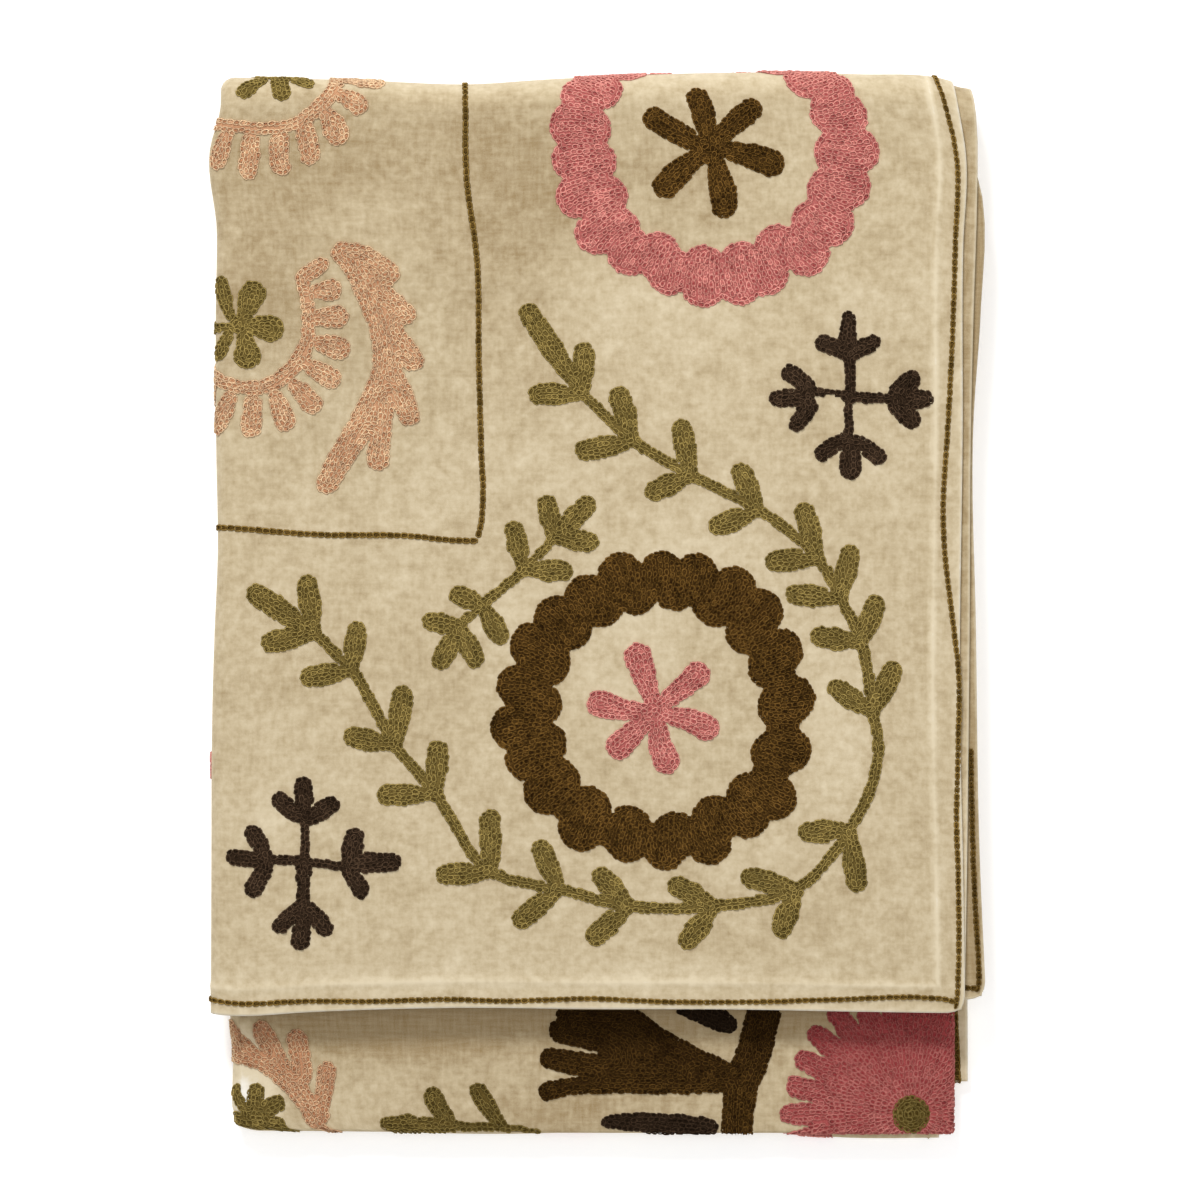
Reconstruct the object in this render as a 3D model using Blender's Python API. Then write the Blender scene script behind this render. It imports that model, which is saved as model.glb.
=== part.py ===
"""A velvet throw with double-turned hems, folded to a sixteenth of its size.

The cloth is one closed sheet. It is laid out flat as a slab with columns and rows at every hem and
fold, and then bent four times, each time with the free half going behind: in half along its
length, in half along its width, the sides in half again, and last the top over to the back.
Metres, +Z up. The throw lies on its back on z = 0, with its embroidered face up, its open hems at
+X and -Y, and its origin under the middle of the bundle.
"""

from collections import namedtuple
from math import pi

import bmesh
import bpy
import numpy as np

MM = 0.001

# The cloth
VELVET = 1.05 * MM  # cotton velvet with its pile pressed down
LAYER_GAP = 0.7 * MM  # between one layer and the next
HEM_WIDTH = 10.8 * MM  # double-turned, on all four sides
HEM_STEP = 1.4 * MM  # the ramp from the hem down to the single cloth
HEM_EXTRA = 0.18 * MM  # what the turned-in cloth adds on the reverse

# The folded bundle, in plan
PANEL_WIDTH = 322.4 * MM  # from the side hems to the left fold
FRONT_LENGTH = 402.6 * MM  # from the end hem to the top fold
BACK_LENGTH = 456.9 * MM  # from the top fold to the folds under the end hem
RIGHT_FOLD_INSET = 2.8 * MM  # how far the inner right folds stay behind the side hems

# Facets of each half-turn
END_FOLD_STEPS = 4
SIDE_FOLD_STEPS = 6
LEFT_FOLD_STEPS = 7
TOP_FOLD_STEPS = 8

# Plan positions of the rows and columns on the flat stretches, from the hems inwards
FLAT_COLUMNS = [80 * MM, 160 * MM, 240 * MM]
FLAT_ROWS = [75 * MM, 150 * MM, 230 * MM, 300 * MM, 360 * MM]
TAIL_ROWS = [0 * MM, -20 * MM, -38 * MM]  # on the stretch that reaches past the end hem

# Unevenness, in millimetres. A plus sign moves an edge outwards.
SideHem = namedtuple("SideHem", "along first_hem last_hem")
SIDE_HEMS = [  # along the cloth, from the end hem on show to the other end
    SideHem(0, 1.5, 3.0),
    SideHem(60, 0.6, 3.0),
    SideHem(130, -0.8, 3.0),
    SideHem(250, 0.4, 3.0),
    SideHem(330, 0.6, 3.0),
    SideHem(370, 1.9, 2.0),
    SideHem(400, -2.8, 0.0),
    SideHem(470, -3.0, 0.0),
    SideHem(600, -2.0, 2.0),
    SideHem(780, -3.5, 3.2),
    SideHem(873, -8.5, 3.8),
    SideHem(960, -3.5, 3.0),
    SideHem(1250, 0.0, 2.0),
    SideHem(1340, 4.0, 2.5),
    SideHem(1372, 6.9, 3.0),
    SideHem(1400, 6.7, 9.3),
    SideHem(1450, 5.2, 8.4),
    SideHem(1500, 4.1, 5.2),
    SideHem(1590, 3.5, 6.4),
    SideHem(1690, 2.4, 8.0),
    SideHem(1745, 1.5, 10.4),
]

EndHem = namedtuple("EndHem", "across first_end last_end middle_fold")
END_HEMS = [  # across the cloth, from the side hem on show to the other side
    EndHem(0, 1.3, -4.0, 2.6),
    EndHem(50, 0.6, -4.5, 2.6),
    EndHem(95, -0.2, -5.0, -1.2),
    EndHem(157, -0.4, -5.0, -1.2),
    EndHem(220, -0.9, -5.0, -1.2),
    EndHem(280, 0.9, -5.0, -1.0),
    EndHem(310, 2.6, -5.0, -1.0),
    EndHem(340, 0.0, -5.0, -1.0),
    EndHem(420, -3.0, -5.0, -0.4),
    EndHem(640, -3.0, -5.0, -0.2),
    EndHem(980, -3.0, -5.0, -1.4),
    EndHem(1160, -3.0, -4.6, -1.4),
    EndHem(1300, -3.0, -4.3, -22.0),
]

LeftFold = namedtuple("LeftFold", "up front back")
LEFT_FOLDS = [  # up the bundle, from the folds below the end hem to the top fold
    LeftFold(-55, 1.5, -15.7),
    LeftFold(-49, 1.5, -11.9),
    LeftFold(-36, 1.5, -8.0),
    LeftFold(-21, 1.5, -8.6),
    LeftFold(-5, 1.5, -6.8),
    LeftFold(40, 1.0, -1.5),
    LeftFold(103, 0.4, 1.9),
    LeftFold(134, 0.2, 1.4),
    LeftFold(198, -1.1, 0.0),
    LeftFold(241, 0.2, 0.0),
    LeftFold(306, -1.1, -0.6),
    LeftFold(349, -0.2, -0.2),
    LeftFold(371, 1.9, 1.4),
    LeftFold(403, -1.9, -1.9),
]

TopFold = namedtuple("TopFold", "across rise")
TOP_FOLDS = [
    TopFold(-6, -3.2),
    TopFold(0, -2.4),
    TopFold(7, -0.4),
    TopFold(44, 1.7),
    TopFold(177, -0.4),
    TopFold(212, -2.6),
    TopFold(260, -0.9),
    TopFold(320, 0.4),
]

DRIFT_REACH = 250 * MM  # how far into the cloth a hem's drift is felt
FOLD_REACH = 0.4  # the share of the panel that moves with the left or top fold
HEM_LOFT = 0.06  # the stack of hems lies this much higher than the middle
LOFT_WAVE = 0.02  # slow swells of the stack
WAVE_ACROSS = 210 * MM
WAVE_UP = 270 * MM

# What follows from them, from the first fold to the last: the stack that bends, and the radius
# of its outer face
END_FOLD_RADIUS = VELVET + LAYER_GAP / 2
SIDE_FOLD_RADIUS = 2 * END_FOLD_RADIUS + LAYER_GAP / 2
LEFT_FOLD_RADIUS = 2 * SIDE_FOLD_RADIUS + LAYER_GAP / 2
TOP_FOLD_RADIUS = 2 * LEFT_FOLD_RADIUS + LAYER_GAP / 2
BUNDLE_HEIGHT = 2 * TOP_FOLD_RADIUS

LEFT_FOLD = PANEL_WIDTH - LEFT_FOLD_RADIUS
TOP_FOLD = FRONT_LENGTH - TOP_FOLD_RADIUS
SIDE_FOLD = 2 * LEFT_FOLD + pi * LEFT_FOLD_RADIUS - RIGHT_FOLD_INSET - SIDE_FOLD_RADIUS
END_FOLD = 2 * TOP_FOLD + pi * TOP_FOLD_RADIUS + BACK_LENGTH - FRONT_LENGTH - END_FOLD_RADIUS
CLOTH_WIDTH = 2 * SIDE_FOLD + pi * SIDE_FOLD_RADIUS
CLOTH_LENGTH = 2 * END_FOLD + pi * END_FOLD_RADIUS


def ease(x):
    """0 below 0, 1 above 1, and a soft step between."""
    x = np.clip(x, 0, 1)
    return x * x * (3 - 2 * x)


def read(table, column, at):
    """The column's value in metres at a place in metres, on a smooth curve through the rows."""
    places = np.array([row[0] for row in table]) * MM
    values = np.array([getattr(row, column) for row in table]) * MM
    slopes = np.gradient(values, places)
    at = np.clip(at, places[0], places[-1])
    cell = np.clip(np.searchsorted(places, at) - 1, 0, len(places) - 2)
    span = places[cell + 1] - places[cell]
    x = (at - places[cell]) / span
    return (
        values[cell] * (1 + 2 * x) * (1 - x) ** 2
        + values[cell + 1] * x * x * (3 - 2 * x)
        + slopes[cell] * span * x * (1 - x) ** 2
        + slopes[cell + 1] * span * x * x * (x - 1)
    )


def half_turn(start, radius, steps):
    """Places along the cloth of the facets of one fold, without its two ends."""
    return [start + pi * radius * step / steps for step in range(1, steps)]


def half_columns():
    hem = [0.0, HEM_WIDTH, HEM_WIDTH + HEM_STEP]
    turn = [LEFT_FOLD] + half_turn(LEFT_FOLD, LEFT_FOLD_RADIUS, LEFT_FOLD_STEPS)
    turn_end = 2 * LEFT_FOLD + pi * LEFT_FOLD_RADIUS
    back = [turn_end - place for place in [LEFT_FOLD] + FLAT_COLUMNS[::-1]]
    side = half_turn(SIDE_FOLD, SIDE_FOLD_RADIUS, SIDE_FOLD_STEPS)[: SIDE_FOLD_STEPS // 2]
    return hem + FLAT_COLUMNS + turn + back + [SIDE_FOLD] + side


def half_rows():
    hem = [0.0, HEM_WIDTH, HEM_WIDTH + HEM_STEP]
    turn = [TOP_FOLD] + half_turn(TOP_FOLD, TOP_FOLD_RADIUS, TOP_FOLD_STEPS)
    turn_end = 2 * TOP_FOLD + pi * TOP_FOLD_RADIUS
    back = [turn_end - place for place in [TOP_FOLD] + FLAT_ROWS[::-1] + TAIL_ROWS]
    end = half_turn(END_FOLD, END_FOLD_RADIUS, END_FOLD_STEPS)[: END_FOLD_STEPS // 2]
    return hem + FLAT_ROWS + turn + back + [END_FOLD] + end


def both_halves(places, whole):
    """The places of one half and their mirror images; the last place is the middle."""
    return np.array(places + [whole - place for place in places[-2::-1]])


def bend(along, normal, start, radius):
    """Folds a stack behind itself. Its outer face is at normal 0 and the rest of it below."""
    angle = np.clip((along - start) / radius, 0, pi)
    past = np.maximum(along - start - pi * radius, 0)
    flat = np.minimum(along, start)
    reach = radius + normal
    return (
        flat + reach * np.sin(angle) - past,
        -radius + reach * np.cos(angle),
    )


def reverse_of(across, along):
    """The level of the cloth's reverse: lower by what the hem adds."""
    inward = np.minimum(
        np.minimum(across, CLOTH_WIDTH - across), np.minimum(along, CLOTH_LENGTH - along)
    )
    return -VELVET - HEM_EXTRA * (1 - ease((inward - HEM_WIDTH) / HEM_STEP))


def drift_hems(across, along):
    """Moves the four hems of the flat cloth in and out, as the folded layers show them."""
    first = 1 - ease(across / DRIFT_REACH)
    last = 1 - ease((CLOTH_WIDTH - across) / DRIFT_REACH)
    new_across = (
        across
        - first * read(SIDE_HEMS, "first_hem", along)
        + last * read(SIDE_HEMS, "last_hem", along)
    )
    first = 1 - ease(along / DRIFT_REACH)
    last = 1 - ease((CLOTH_LENGTH - along) / DRIFT_REACH)
    new_along = (
        along
        - first * read(END_HEMS, "first_end", across)
        + last * read(END_HEMS, "last_end", across)
    )
    return new_across, new_along


def loosen(across, up, height):
    """The bundle's unevenness: its left and top folds wander, and its stack swells."""
    back = 1 - ease((height - BUNDLE_HEIGHT / 2 + MM) / (2 * MM))
    wander = read(LEFT_FOLDS, "front", up) * (1 - back) + read(LEFT_FOLDS, "back", up) * back
    near_left = ease((across / PANEL_WIDTH - 1 + FOLD_REACH) / FOLD_REACH)
    near_top = ease((up / FRONT_LENGTH - 1 + FOLD_REACH) / FOLD_REACH)
    swell = LOFT_WAVE * np.sin(2 * pi * across / WAVE_ACROSS + 0.8) * np.sin(2 * pi * up / WAVE_UP)
    loft = 1 + HEM_LOFT * (1 - ease(across / (FOLD_REACH * PANEL_WIDTH))) + swell
    return (
        across + near_left * wander,
        up + near_top * read(TOP_FOLDS, "rise", across),
        height * loft,
    )


def fold(across, along, normal):
    """A point of the flat cloth, and where it lies in the bundle."""
    across, along = drift_hems(across, along)
    middle_fold = read(END_HEMS, "middle_fold", across)
    along, normal = bend(along, normal, END_FOLD, END_FOLD_RADIUS)
    along = along + middle_fold * ease((along - FRONT_LENGTH) / BACK_LENGTH)
    across, normal = bend(across, normal, SIDE_FOLD, SIDE_FOLD_RADIUS)
    across, normal = bend(across, normal, LEFT_FOLD, LEFT_FOLD_RADIUS)
    up, normal = bend(along, normal, TOP_FOLD, TOP_FOLD_RADIUS)
    across, up, height = loosen(across, up, BUNDLE_HEIGHT + normal)
    return -across, up, height


def flat_cloth(columns, rows):
    """The cloth before folding: a slab whose grid lines lie at the given columns and rows."""
    bm = bmesh.new()
    bmesh.ops.create_grid(bm, x_segments=len(columns) - 1, y_segments=len(rows) - 1, size=0.5)
    bmesh.ops.solidify(bm, geom=bm.verts[:] + bm.edges[:] + bm.faces[:], thickness=0.1)
    for vertex in bm.verts:
        column = round((vertex.co.x + 0.5) * (len(columns) - 1))
        row = round((vertex.co.y + 0.5) * (len(rows) - 1))
        on_face = vertex.co.z > -0.05
        vertex.co = (columns[column], rows[row], 0 if on_face else -1)
    bmesh.ops.recalc_face_normals(bm, faces=bm.faces)
    return bm


def split_alike(bm):
    """Cuts every quad along the diagonal that runs the same way in plan, so that layers nest."""
    for face in list(bm.faces):
        a, b, c, d = face.verts
        rises = (c.co.x - a.co.x) * (c.co.y - a.co.y) > 0
        bmesh.utils.face_split(face, *((a, c) if rises else (b, d)))


def velvet_material():
    material = bpy.data.materials.new("sand_velvet")
    material.use_nodes = True
    shader = material.node_tree.nodes["Principled BSDF"]
    shader.inputs["Base Color"].default_value = (0.60, 0.51, 0.34, 1)
    shader.inputs["Roughness"].default_value = 0.85
    shader.inputs["Metallic"].default_value = 0.0
    material.diffuse_color = (0.60, 0.51, 0.34, 1)
    return material


def velvet_throw():
    columns = both_halves(half_columns(), CLOTH_WIDTH)
    rows = both_halves(half_rows(), CLOTH_LENGTH)
    bm = flat_cloth(columns, rows)
    flat = np.array([vertex.co for vertex in bm.verts], dtype=float)
    normal = np.where(flat[:, 2] < -0.5, reverse_of(flat[:, 0], flat[:, 1]), 0)
    placed = np.stack(fold(flat[:, 0], flat[:, 1], normal), axis=1)
    low, high = placed.min(axis=0), placed.max(axis=0)
    placed -= [(low[0] + high[0]) / 2, (low[1] + high[1]) / 2, low[2]]
    for vertex, place in zip(bm.verts, placed):
        vertex.co = place
    bmesh.ops.reverse_faces(bm, faces=bm.faces)  # the bundle is laid out the other way round
    split_alike(bm)
    mesh = bpy.data.meshes.new("velvet_throw")
    bm.to_mesh(mesh)
    bm.free()
    mesh.shade_smooth()
    mesh.materials.append(velvet_material())
    throw = bpy.data.objects.new("velvet_throw", mesh)
    bpy.context.scene.collection.objects.link(throw)
    return throw


for old in list(bpy.data.objects):
    bpy.data.objects.remove(old, do_unlink=True)
velvet_throw()
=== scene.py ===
from math import ceil, copysign, cos, hypot, pi, radians, sin

import bmesh
import bpy
import numpy as np
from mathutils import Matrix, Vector


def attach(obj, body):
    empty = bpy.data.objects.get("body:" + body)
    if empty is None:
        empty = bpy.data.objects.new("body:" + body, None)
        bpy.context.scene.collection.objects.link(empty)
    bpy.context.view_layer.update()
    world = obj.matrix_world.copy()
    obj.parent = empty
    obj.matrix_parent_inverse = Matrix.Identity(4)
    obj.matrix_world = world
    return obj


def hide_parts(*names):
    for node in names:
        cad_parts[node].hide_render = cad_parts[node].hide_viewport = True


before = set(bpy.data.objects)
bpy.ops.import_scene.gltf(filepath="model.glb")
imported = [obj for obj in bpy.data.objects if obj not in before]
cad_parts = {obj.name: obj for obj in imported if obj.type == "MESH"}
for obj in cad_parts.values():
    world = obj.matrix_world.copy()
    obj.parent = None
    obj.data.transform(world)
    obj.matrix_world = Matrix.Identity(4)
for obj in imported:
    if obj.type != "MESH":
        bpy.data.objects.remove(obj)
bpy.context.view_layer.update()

mm = 0.001

# The throw is laid out flat and folded by the same four bends as its solid. A place on the flat
# cloth is (across, up): millimetres leftwards from the side hem on show and upwards from the end
# hem on show, as the top panel is seen. Every stitch goes through the bends too.

cloth = {
    "velvet": 1.05,  # thickness
    "gap": 0.7,  # between layers
    "hem": 10.8,
    "hemStep": 1.4,  # how soon a hem thins to plain cloth
    "hemExtra": 0.18,
    "panelWidth": 322.4,
    "frontLength": 402.6,
    "backLength": 456.9,
    "rightFoldInset": 2.8,
    "driftReach": 250,  # how far from a hem its wandering is felt
    "foldReach": 0.4,  # the same for a fold, as a share of the panel
    "hemLoft": 0.06,  # the stack swells towards the side hems
    "loftWave": 0.02,
    "waveAcross": 210,
    "waveUp": 270,
    "wavePhase": 0.8,
    "cornerPull": 1.6,  # the hems' corners are soft
    "cornerReach": 4,
    "flatSize": (1.30, 1.72),  # metres
}

endRadius = cloth["velvet"] + cloth["gap"] / 2
sideRadius = 2 * endRadius + cloth["gap"] / 2
leftRadius = 2 * sideRadius + cloth["gap"] / 2
topRadius = 2 * leftRadius + cloth["gap"] / 2
bundleHeight = 2 * topRadius
leftFold = cloth["panelWidth"] - leftRadius
topFold = cloth["frontLength"] - topRadius
leftFoldEnd = leftFold + pi * leftRadius
topFoldEnd = topFold + pi * topRadius
sideFold = leftFold + leftFoldEnd - cloth["rightFoldInset"] - sideRadius
endFold = topFold + topFoldEnd + cloth["backLength"] - cloth["frontLength"] - endRadius
clothWidth = 2 * sideFold + pi * sideRadius
clothLength = 2 * endFold + pi * endRadius

# How far each edge stands out from its straight line, along the cloth or up the bundle
sideHems = {
    "at": [0, 60, 130, 250, 330, 370, 400, 470, 600, 780, 873, 960, 1250, 1340, 1372, 1400, 1450,
           1500, 1590, 1690, 1745],
    "first": [1.5, 0.6, -0.8, 0.4, 0.6, 1.9, -2.8, -3.0, -2.0, -3.5, -8.5, -3.5, 0.0, 4.0, 6.9,
              6.7, 5.2, 4.1, 3.5, 2.4, 1.5],
    "last": [3.0, 3.0, 3.0, 3.0, 3.0, 2.0, 0.0, 0.0, 2.0, 3.2, 3.8, 3.0, 2.0, 2.5, 3.0, 9.3, 8.4,
             5.2, 6.4, 8.0, 10.4],
}
endHems = {
    "at": [0, 50, 95, 157, 220, 280, 310, 340, 420, 640, 980, 1160, 1300],
    "first": [1.3, 0.6, -0.2, -0.4, -0.9, 0.9, 2.6, 0.0, -3.0, -3.0, -3.0, -3.0, -3.0],
    "last": [-4.0, -4.5, -5.0, -5.0, -5.0, -5.0, -5.0, -5.0, -5.0, -5.0, -5.0, -4.6, -4.3],
    "middleFold": [2.6, 2.6, -1.2, -1.2, -1.2, -1.0, -1.0, -1.0, -0.4, -0.2, -1.4, -1.4, -22.0],
}
leftFolds = {
    "up": [-55, -53.4, -51.7, -47, -30.6, -19, -5, 40, 75, 103, 134, 160, 198, 241, 306, 336,
           371, 389, 403],
    "front": [1.5, 1.5, 1.5, 1.5, 1.5, 1.5, 1.5, 1.4, 1.3, 1.2, 0.8, 0.0, -1.5, -0.8, -0.6, -1.0,
              2.0, -2.6, -1.9],
    "back": [-16.2, -15.3, -10.6, -8.1, -7.2, -7.5, -6.2, -2.2, 0.4, 1.9, 1.2, 0.0, -1.6, -1.0,
             -0.8, -1.0, 1.6, -2.6, -1.9],
}
topFolds = {
    "across": [-6, 0, 7, 44, 177, 212, 260, 320],
    "rise": [-3.2, -2.4, -0.4, 1.7, -0.4, -2.6, -0.9, 0.4],
}


def ease(x):
    x = np.clip(x, 0, 1)
    return x * x * (3 - 2 * x)


def readCurve(places, values, at):  # a smooth curve through the rows of a table
    places, values = np.array(places, float), np.array(values, float)
    slopes = np.gradient(values, places)
    at = np.clip(at, places[0], places[-1])
    cell = np.clip(np.searchsorted(places, at) - 1, 0, len(places) - 2)
    span = places[cell + 1] - places[cell]
    x = (at - places[cell]) / span
    ends = values[cell] * (1 + 2 * x) * (1 - x) ** 2 + values[cell + 1] * x * x * (3 - 2 * x)
    turns = slopes[cell] * x * (1 - x) ** 2 + slopes[cell + 1] * x * x * (x - 1)
    return ends + span * turns


def bend(along, level, start, radius):  # folds a stack behind itself
    angle = np.clip((along - start) / radius, 0, pi)
    past = np.maximum(along - start - pi * radius, 0)
    reach = radius + level
    return np.minimum(along, start) + reach * np.sin(angle) - past, reach * np.cos(angle) - radius


def toHems(across, up):  # the distances to the nearer side hem and end hem
    return np.minimum(across, clothWidth - across), np.minimum(up, clothLength - up)


def drift(place, whole, hems, at):  # a place moved with the two hems that it lies between
    first, last = (1 - ease(inward / cloth["driftReach"]) for inward in (place, whole - place))
    return (place - first * readCurve(hems["at"], hems["first"], at)
            + last * readCurve(hems["at"], hems["last"], at))


def driftHems(across, up):
    toCorner = np.hypot(*toHems(across, up))
    pull = cloth["cornerPull"] * np.exp(-(toCorner / cloth["cornerReach"]) ** 2)
    return (drift(across, clothWidth, sideHems, up) + pull * np.sign(clothWidth / 2 - across),
            drift(up, clothLength, endHems, across) + pull * np.sign(clothLength / 2 - up))


def loosen(across, up, height, restHeight):  # the folds wander and the stack swells
    back = 1 - ease((restHeight - bundleHeight / 2 + 1) / 2)  # from the front half to the back one
    wander = (readCurve(leftFolds["up"], leftFolds["front"], up) * (1 - back)
              + readCurve(leftFolds["up"], leftFolds["back"], up) * back)
    reach = cloth["foldReach"]
    nearLeft = ease((across / cloth["panelWidth"] - 1 + reach) / reach)
    nearTop = ease((up / cloth["frontLength"] - 1 + reach) / reach)
    swell = (cloth["loftWave"] * np.sin(2 * pi * across / cloth["waveAcross"] + cloth["wavePhase"])
             * np.sin(2 * pi * up / cloth["waveUp"]))
    loft = 1 + cloth["hemLoft"] * (1 - ease(across / (reach * cloth["panelWidth"]))) + swell
    rise = readCurve(topFolds["across"], topFolds["rise"], across)
    return np.stack([-across - nearLeft * wander, up + nearTop * rise, height * loft], axis=-1)


def stackPlace(across, up, level):
    across, up = driftHems(across, up)
    middle = readCurve(endHems["at"], endHems["middleFold"], across)
    up, level = bend(up, level, endFold, endRadius)
    up = up + middle * ease((up - cloth["frontLength"]) / cloth["backLength"])
    across, level = bend(across, level, sideFold, sideRadius)
    across, level = bend(across, level, leftFold, leftRadius)
    up, level = bend(up, level, topFold, topRadius)
    return across, up, bundleHeight + level


def bundlePlace(across, up, level):  # from the flat cloth to the bundle, in millimetres
    restHeight = stackPlace(across, up, np.minimum(level, 0))[2]  # stitches follow their cloth
    return loosen(*stackPlace(across, up, level), restHeight)


def reverseLevel(across, up):  # of the cloth's back, which a turned-in hem lowers
    pastHem = (np.minimum(*toHems(across, up)) - cloth["hem"]) / cloth["hemStep"]
    return -cloth["velvet"] - cloth["hemExtra"] * (1 - ease(pastHem))


relief = {
    "hemRidge": 0.34,  # where the turned-in edge ends, on the top layer
    "hemRidgeAt": 11.6,
    "hemRidgeWidth": 1.5,
    "hemPad": 0.12,
    "hemPadEnd": 2,  # how soon the pad sinks past the ridge
    "hemRipple": 0.12,
    "rippleAcross": 6.1,
    "rippleUp": 7.3,
    "topFade": (10, 30),  # the relief ends before the top fold and past the left one
    "leftFade": (-6, 10),
    "underStitches": 0.9,
    "underReach": 8,
    # soft ridges placed on the top panel: middle, half length, half width, turn, height
    "ridges": {
        "across": [286, 250, 196, 160, 96, 60, 300, 255, 205, 150, 120, 30],
        "up": [20, 42, 30, 78, 24, 318, 142, 205, 318, 300, 230, 200],
        "length": [30, 26, 34, 22, 40, 30, 28, 24, 30, 36, 40, 34],
        "width": [5, 6, 7, 6, 6, 7, 7, 8, 7, 9, 8, 6],
        "turn": [82, 60, 95, 30, 88, 20, 70, 15, 10, 35, 60, 85],
        "height": [0.35, 0.3, 0.3, 0.35, 0.3, 0.35, 0.4, 0.4, 0.45, 0.4, 0.35, 0.3],
    },
}


def topRelief(across, up):  # how far the top layer stands proud of its plain fold
    inward = np.minimum(across, up)
    ridge = np.exp(-(((inward - relief["hemRidgeAt"]) / relief["hemRidgeWidth"]) ** 2))
    pad = 1 - ease((inward - relief["hemRidgeAt"]) / relief["hemPadEnd"])
    ripple = np.sin(across / relief["rippleAcross"] + up / relief["rippleUp"]) ** 2
    total = relief["hemRidge"] * ridge + relief["hemPad"] * pad
    total = total + relief["hemRipple"] * pad * ripple
    for middleAcross, middleUp, length, width, turn, height in zip(*relief["ridges"].values()):
        x, y = across - middleAcross, up - middleUp
        c, s = cos(radians(turn)), sin(radians(turn))
        lengthwise, sideways = (c * x + s * y) / length, (c * y - s * x) / width
        total = total + height * np.exp(-lengthwise ** 2 - sideways ** 2)
    for past, (before, reach) in ((up - topFold, relief["topFade"]),
                                  (across - leftFold, relief["leftFade"])):
        total = total * (1 - ease((past + before) / reach))
    return total


def foldCloth(across, up, level):  # in metres, the lowest layer raised on its own stitches
    place = bundlePlace(across, up, level + topRelief(across, up)) - originShift
    height = place[..., 2]
    raised = relief["underStitches"] * (1 - ease(height / relief["underReach"]))
    place[..., 2] = np.maximum(height + raised, 0)
    return place * mm


print("fold sizes worked out")

# The sheet: a flat grid made solid, with its columns and rows closest where it bends


def spread(start, end, step):
    count = max(1, round((end - start) / step))
    return [start + (end - start) * i / count for i in range(count)]


sheetCells = {
    "hemPlaces": [0, 1.2, 4, 7.5, 9.6, 10.6, 11.6, 12.8, 14.5],
    "openFrom": 18,
    "shown": 4.5,
    "hidden": 12,  # on the half of the cloth that is folded away inside
    "leftFold": 2.1,
    "topFold": 3.1,
    "sideFold": 1.3,
    "endFold": 0.75,
    "innerAcross": 11,
    "innerUp": 15,
    "tailFrom": 812,  # the lower layer shows from here on
}


def halfPlaces(stretches):
    places = list(sheetCells["hemPlaces"])
    for start, end, cell in stretches:
        places += spread(start, end, cell)
    return places + [stretches[-1][1]]


def halfColumns(cell):
    c = sheetCells
    return halfPlaces([(c["openFrom"], leftFold, cell), (leftFold, leftFoldEnd, c["leftFold"]),
                       (leftFoldEnd, sideFold, c["innerAcross"]),
                       (sideFold, clothWidth / 2, c["sideFold"])])


def halfRows(cell):
    c = sheetCells
    return halfPlaces([(c["openFrom"], topFold, cell), (topFold, topFoldEnd, c["topFold"]),
                       (topFoldEnd, c["tailFrom"], c["innerUp"]), (c["tailFrom"], endFold, cell),
                       (endFold, clothLength / 2, c["endFold"])])


def bothHalves(half, whole):
    near, far = half(sheetCells["shown"]), half(sheetCells["hidden"])
    return np.array(near + [whole - place for place in far[-2::-1]])


def meshFrom(bm, name):
    mesh = bpy.data.meshes.new(name)
    bm.to_mesh(mesh)
    bm.free()
    return mesh


def addFloatAttribute(mesh, name, values):
    mesh.attributes.new(name, "FLOAT", "POINT").data.foreach_set("value", values.astype("f4"))


def addClothMap(mesh, across, up):  # the piece's own map: places on the flat cloth, in metres
    corners = np.empty(len(mesh.loops), np.int32)
    mesh.loops.foreach_get("vertex_index", corners)
    flat = np.stack([across[corners], up[corners]], axis=1) * mm
    mesh.uv_layers.new(name="clothMap").data.foreach_set("uv", flat.astype("f4").ravel())


def linkObject(name, data):
    made = bpy.data.objects.new(name, data)
    bpy.context.scene.collection.objects.link(made)
    return made


def makeSheet():
    columns, rows = bothHalves(halfColumns, clothWidth), bothHalves(halfRows, clothLength)
    thickness = 0.1  # only tells the two sides apart until the fold gives them their places
    bm = bmesh.new()
    bmesh.ops.create_grid(bm, x_segments=len(columns) - 1, y_segments=len(rows) - 1, size=0.5)
    bmesh.ops.solidify(bm, geom=bm.verts[:] + bm.edges[:] + bm.faces[:], thickness=thickness)
    bmesh.ops.recalc_face_normals(bm, faces=bm.faces)
    # The rim's faces come in any order, so all are sorted by their side, row and column
    bm.faces.sort(key=lambda face: face.calc_center_median().dot((1, 1e3, 1e6)))
    mesh = meshFrom(bm, "velvetSheet")
    points = np.empty(len(mesh.vertices) * 3, np.float32)
    mesh.vertices.foreach_get("co", points)
    x, y, z = points.reshape(-1, 3).astype(float).T
    across = columns[np.round((x + 0.5) * (len(columns) - 1)).astype(int)]
    up = rows[np.round((y + 0.5) * (len(rows) - 1)).astype(int)]
    level = np.where(z > -thickness / 2, 0, reverseLevel(across, up))
    return mesh, across, up, level


sheetMesh, sheetAcross, sheetUp, sheetLevel = makeSheet()
plain = bundlePlace(sheetAcross, sheetUp, sheetLevel)[:, :2]
originShift = np.append((plain.min(axis=0) + plain.max(axis=0)) / 2, 0)
placed = foldCloth(sheetAcross, sheetUp, sheetLevel)
sheetMesh.vertices.foreach_set("co", placed.astype("f4").ravel())
sheetMesh.flip_normals()  # the fold turns the sheet round
sheetMesh.update()
sheetMesh.shade_smooth()
addClothMap(sheetMesh, sheetAcross, sheetUp)
velvetThrow = linkObject("velvetThrow", sheetMesh)
print("velvet sheet folded:", len(sheetMesh.polygons) * 2, "triangles")

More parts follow.
